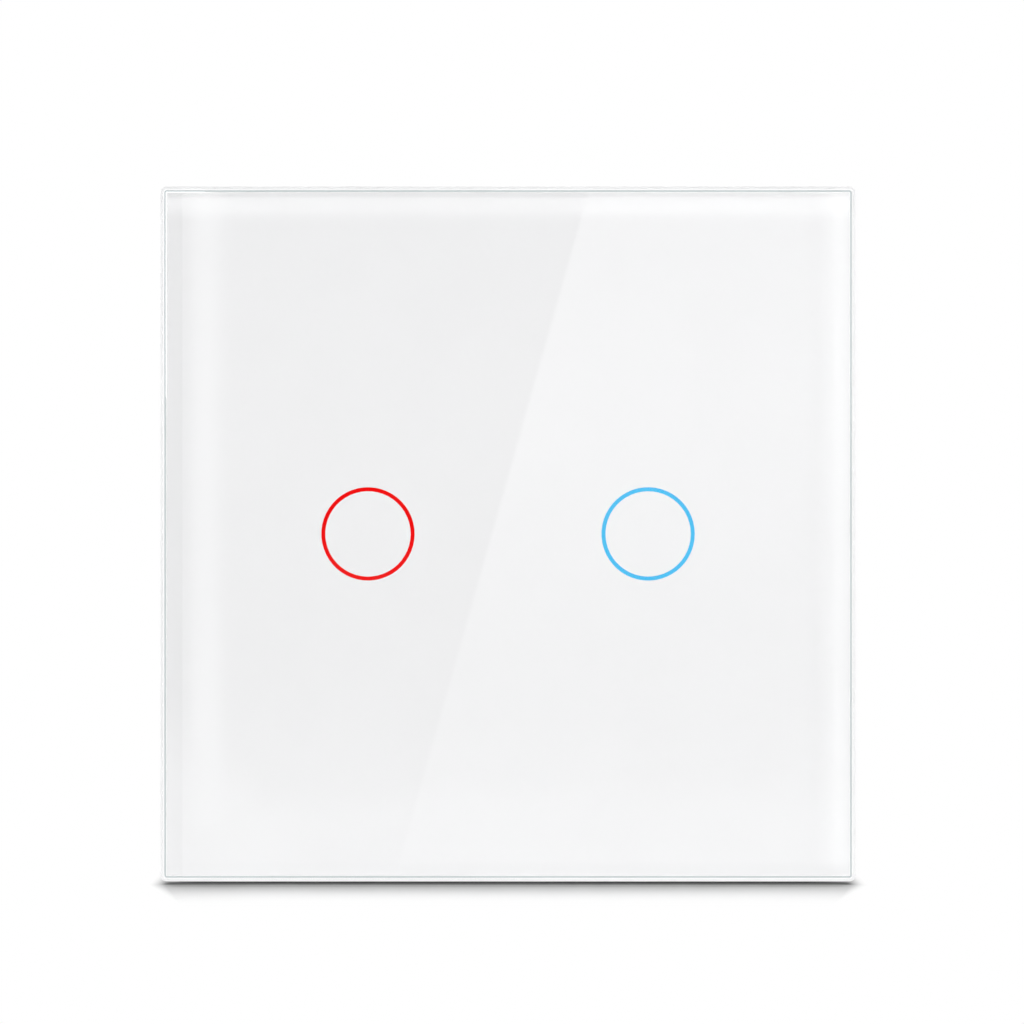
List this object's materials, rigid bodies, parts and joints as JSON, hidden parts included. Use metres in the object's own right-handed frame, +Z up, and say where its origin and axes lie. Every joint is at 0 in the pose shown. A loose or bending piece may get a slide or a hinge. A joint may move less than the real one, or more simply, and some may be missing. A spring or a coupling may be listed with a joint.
{
  "type": "touch light switch",
  "caption": "Square glass touch light switch with lit ring touch marks, pull-off panel, steel wall plate, relay module and screw terminals.",
  "frame": {"origin": "centre of the wall-fixing pattern, on the wall plane behind the panel", "axes": "+Z up the wall, +X to the right seen from the room, +Y into the wall; the glass faces -Y"},
  "size_m": [0.086, 0.036, 0.086],
  "materials": {
    "glass": "polished",
    "white_print": "printed",
    "foam_tape": "foam",
    "white_plastic": "moulded",
    "spring_steel": "rolled",
    "zinc_steel": "zinc plated",
    "screw_steel": "zinc plated",
    "light_red": "translucent",
    "light_blue": "translucent",
    "gold_spring": "plated",
    "board_green": "solder mask",
    "black_plastic": "moulded",
    "brass": "stamped",
    "ferrite": "sintered",
    "yellow_tape": "taped",
    "can_sleeve": "sleeved",
    "film_box": "moulded",
    "fuse_brown": "moulded",
    "terminal_green": "moulded",
    "dark_plastic": "moulded",
    "relay_iron": "plated",
    "copper": "copper",
    "relay_case": "moulded"
  },
  "bodies": {
    "module": {"panel_clips": "spring_steel", "mounting_plate": "zinc_steel", "plate_screws": "screw_steel", "front_cover": "white_plastic", "light_ring_left": "light_red", "light_ring_right": "light_blue", "touch_spring_left": "gold_spring", "touch_spring_right": "gold_spring", "touch_board": "board_green", "touch_board_screws": "screw_steel", "red_lamps": "light_red", "blue_lamps": "light_blue", "touch_chip": "black_plastic", "board_header": "black_plastic", "header_pins": "brass", "board_socket": "black_plastic", "power_board": "board_green", "relay_left_base": "black_plastic", "relay_left_yoke": "relay_iron", "relay_left_bobbin": "white_plastic", "relay_left_winding": "copper", "relay_left_contact": "copper", "relay_left_hinge_spring": "copper", "relay_left_case": "relay_case", "relay_right_base": "black_plastic", "relay_right_yoke": "relay_iron", "relay_right_bobbin": "white_plastic", "relay_right_winding": "copper", "relay_right_contact": "copper", "relay_right_hinge_spring": "copper", "relay_right_case": "relay_case", "transformer_core": "ferrite", "transformer_winding": "yellow_tape", "filter_capacitor": "can_sleeve", "film_capacitor": "film_box", "fuse": "fuse_brown", "terminal_block": "terminal_green", "terminal_busbars": "brass", "rear_housing": "dark_plastic", "housing_screws": "screw_steel"},
    "panel": {"glass_pane": "glass", "back_print": "white_print", "adhesive_tape": "foam_tape", "panel_frame": "white_plastic"},
    "armature_left": {"relay_left_armature": "relay_iron", "relay_left_blade": "copper"},
    "armature_right": {"relay_right_armature": "relay_iron", "relay_right_blade": "copper"},
    "clamp_1": {"clamp_cage_1": "zinc_steel"},
    "screw_1": {"clamp_screw_1": "screw_steel"},
    "clamp_2": {"clamp_cage_2": "zinc_steel"},
    "screw_2": {"clamp_screw_2": "screw_steel"},
    "clamp_3": {"clamp_cage_3": "zinc_steel"},
    "screw_3": {"clamp_screw_3": "screw_steel"}
  },
  "joints": [
    {"name": "panel_release", "type": "slide", "parent": "module", "child": "panel", "axis": [0, -1, 0], "range_m": [0, 0.03], "deforming": ["panel_clips"]},
    {"name": "relay_left_close", "type": "hinge", "parent": "module", "child": "armature_left", "pos_m": [-0.0154, 0.0166, -0.0081], "axis": [1, 0, 0], "range_deg": [0, 4.5], "stiffness_Nm_per_rad": 0.002, "springref_deg": -11.46, "deforming": ["relay_left_hinge_spring"]},
    {"name": "relay_right_close", "type": "hinge", "parent": "module", "child": "armature_right", "pos_m": [0.0154, 0.0166, -0.0081], "axis": [1, 0, 0], "range_deg": [0, 4.5], "stiffness_Nm_per_rad": 0.002, "springref_deg": -11.46, "deforming": ["relay_right_hinge_spring"]},
    {"name": "clamp_screw_1_turn", "type": "hinge", "parent": "module", "child": "screw_1", "pos_m": [-0.0092, 0.0222, -0.0172], "axis": [0, -1, 0], "range_deg": [0, 1800]},
    {"name": "clamp_1_rise", "type": "slide", "parent": "module", "child": "clamp_1", "axis": [0, 1, 0], "range_m": [0, 0.0025]},
    {"name": "clamp_screw_2_turn", "type": "hinge", "parent": "module", "child": "screw_2", "pos_m": [0, 0.0222, -0.0172], "axis": [0, -1, 0], "range_deg": [0, 1800]},
    {"name": "clamp_2_rise", "type": "slide", "parent": "module", "child": "clamp_2", "axis": [0, 1, 0], "range_m": [0, 0.0025]},
    {"name": "clamp_screw_3_turn", "type": "hinge", "parent": "module", "child": "screw_3", "pos_m": [0.0092, 0.0222, -0.0172], "axis": [0, -1, 0], "range_deg": [0, 1800]},
    {"name": "clamp_3_rise", "type": "slide", "parent": "module", "child": "clamp_3", "axis": [0, 1, 0], "range_m": [0, 0.0025]}
  ],
  "couplings": [
    {"joint": "clamp_screw_1_turn", "follows": "clamp_1_rise", "rad_per_m": 12566},
    {"joint": "clamp_screw_2_turn", "follows": "clamp_2_rise", "rad_per_m": 12566},
    {"joint": "clamp_screw_3_turn", "follows": "clamp_3_rise", "rad_per_m": 12566}
  ]
}
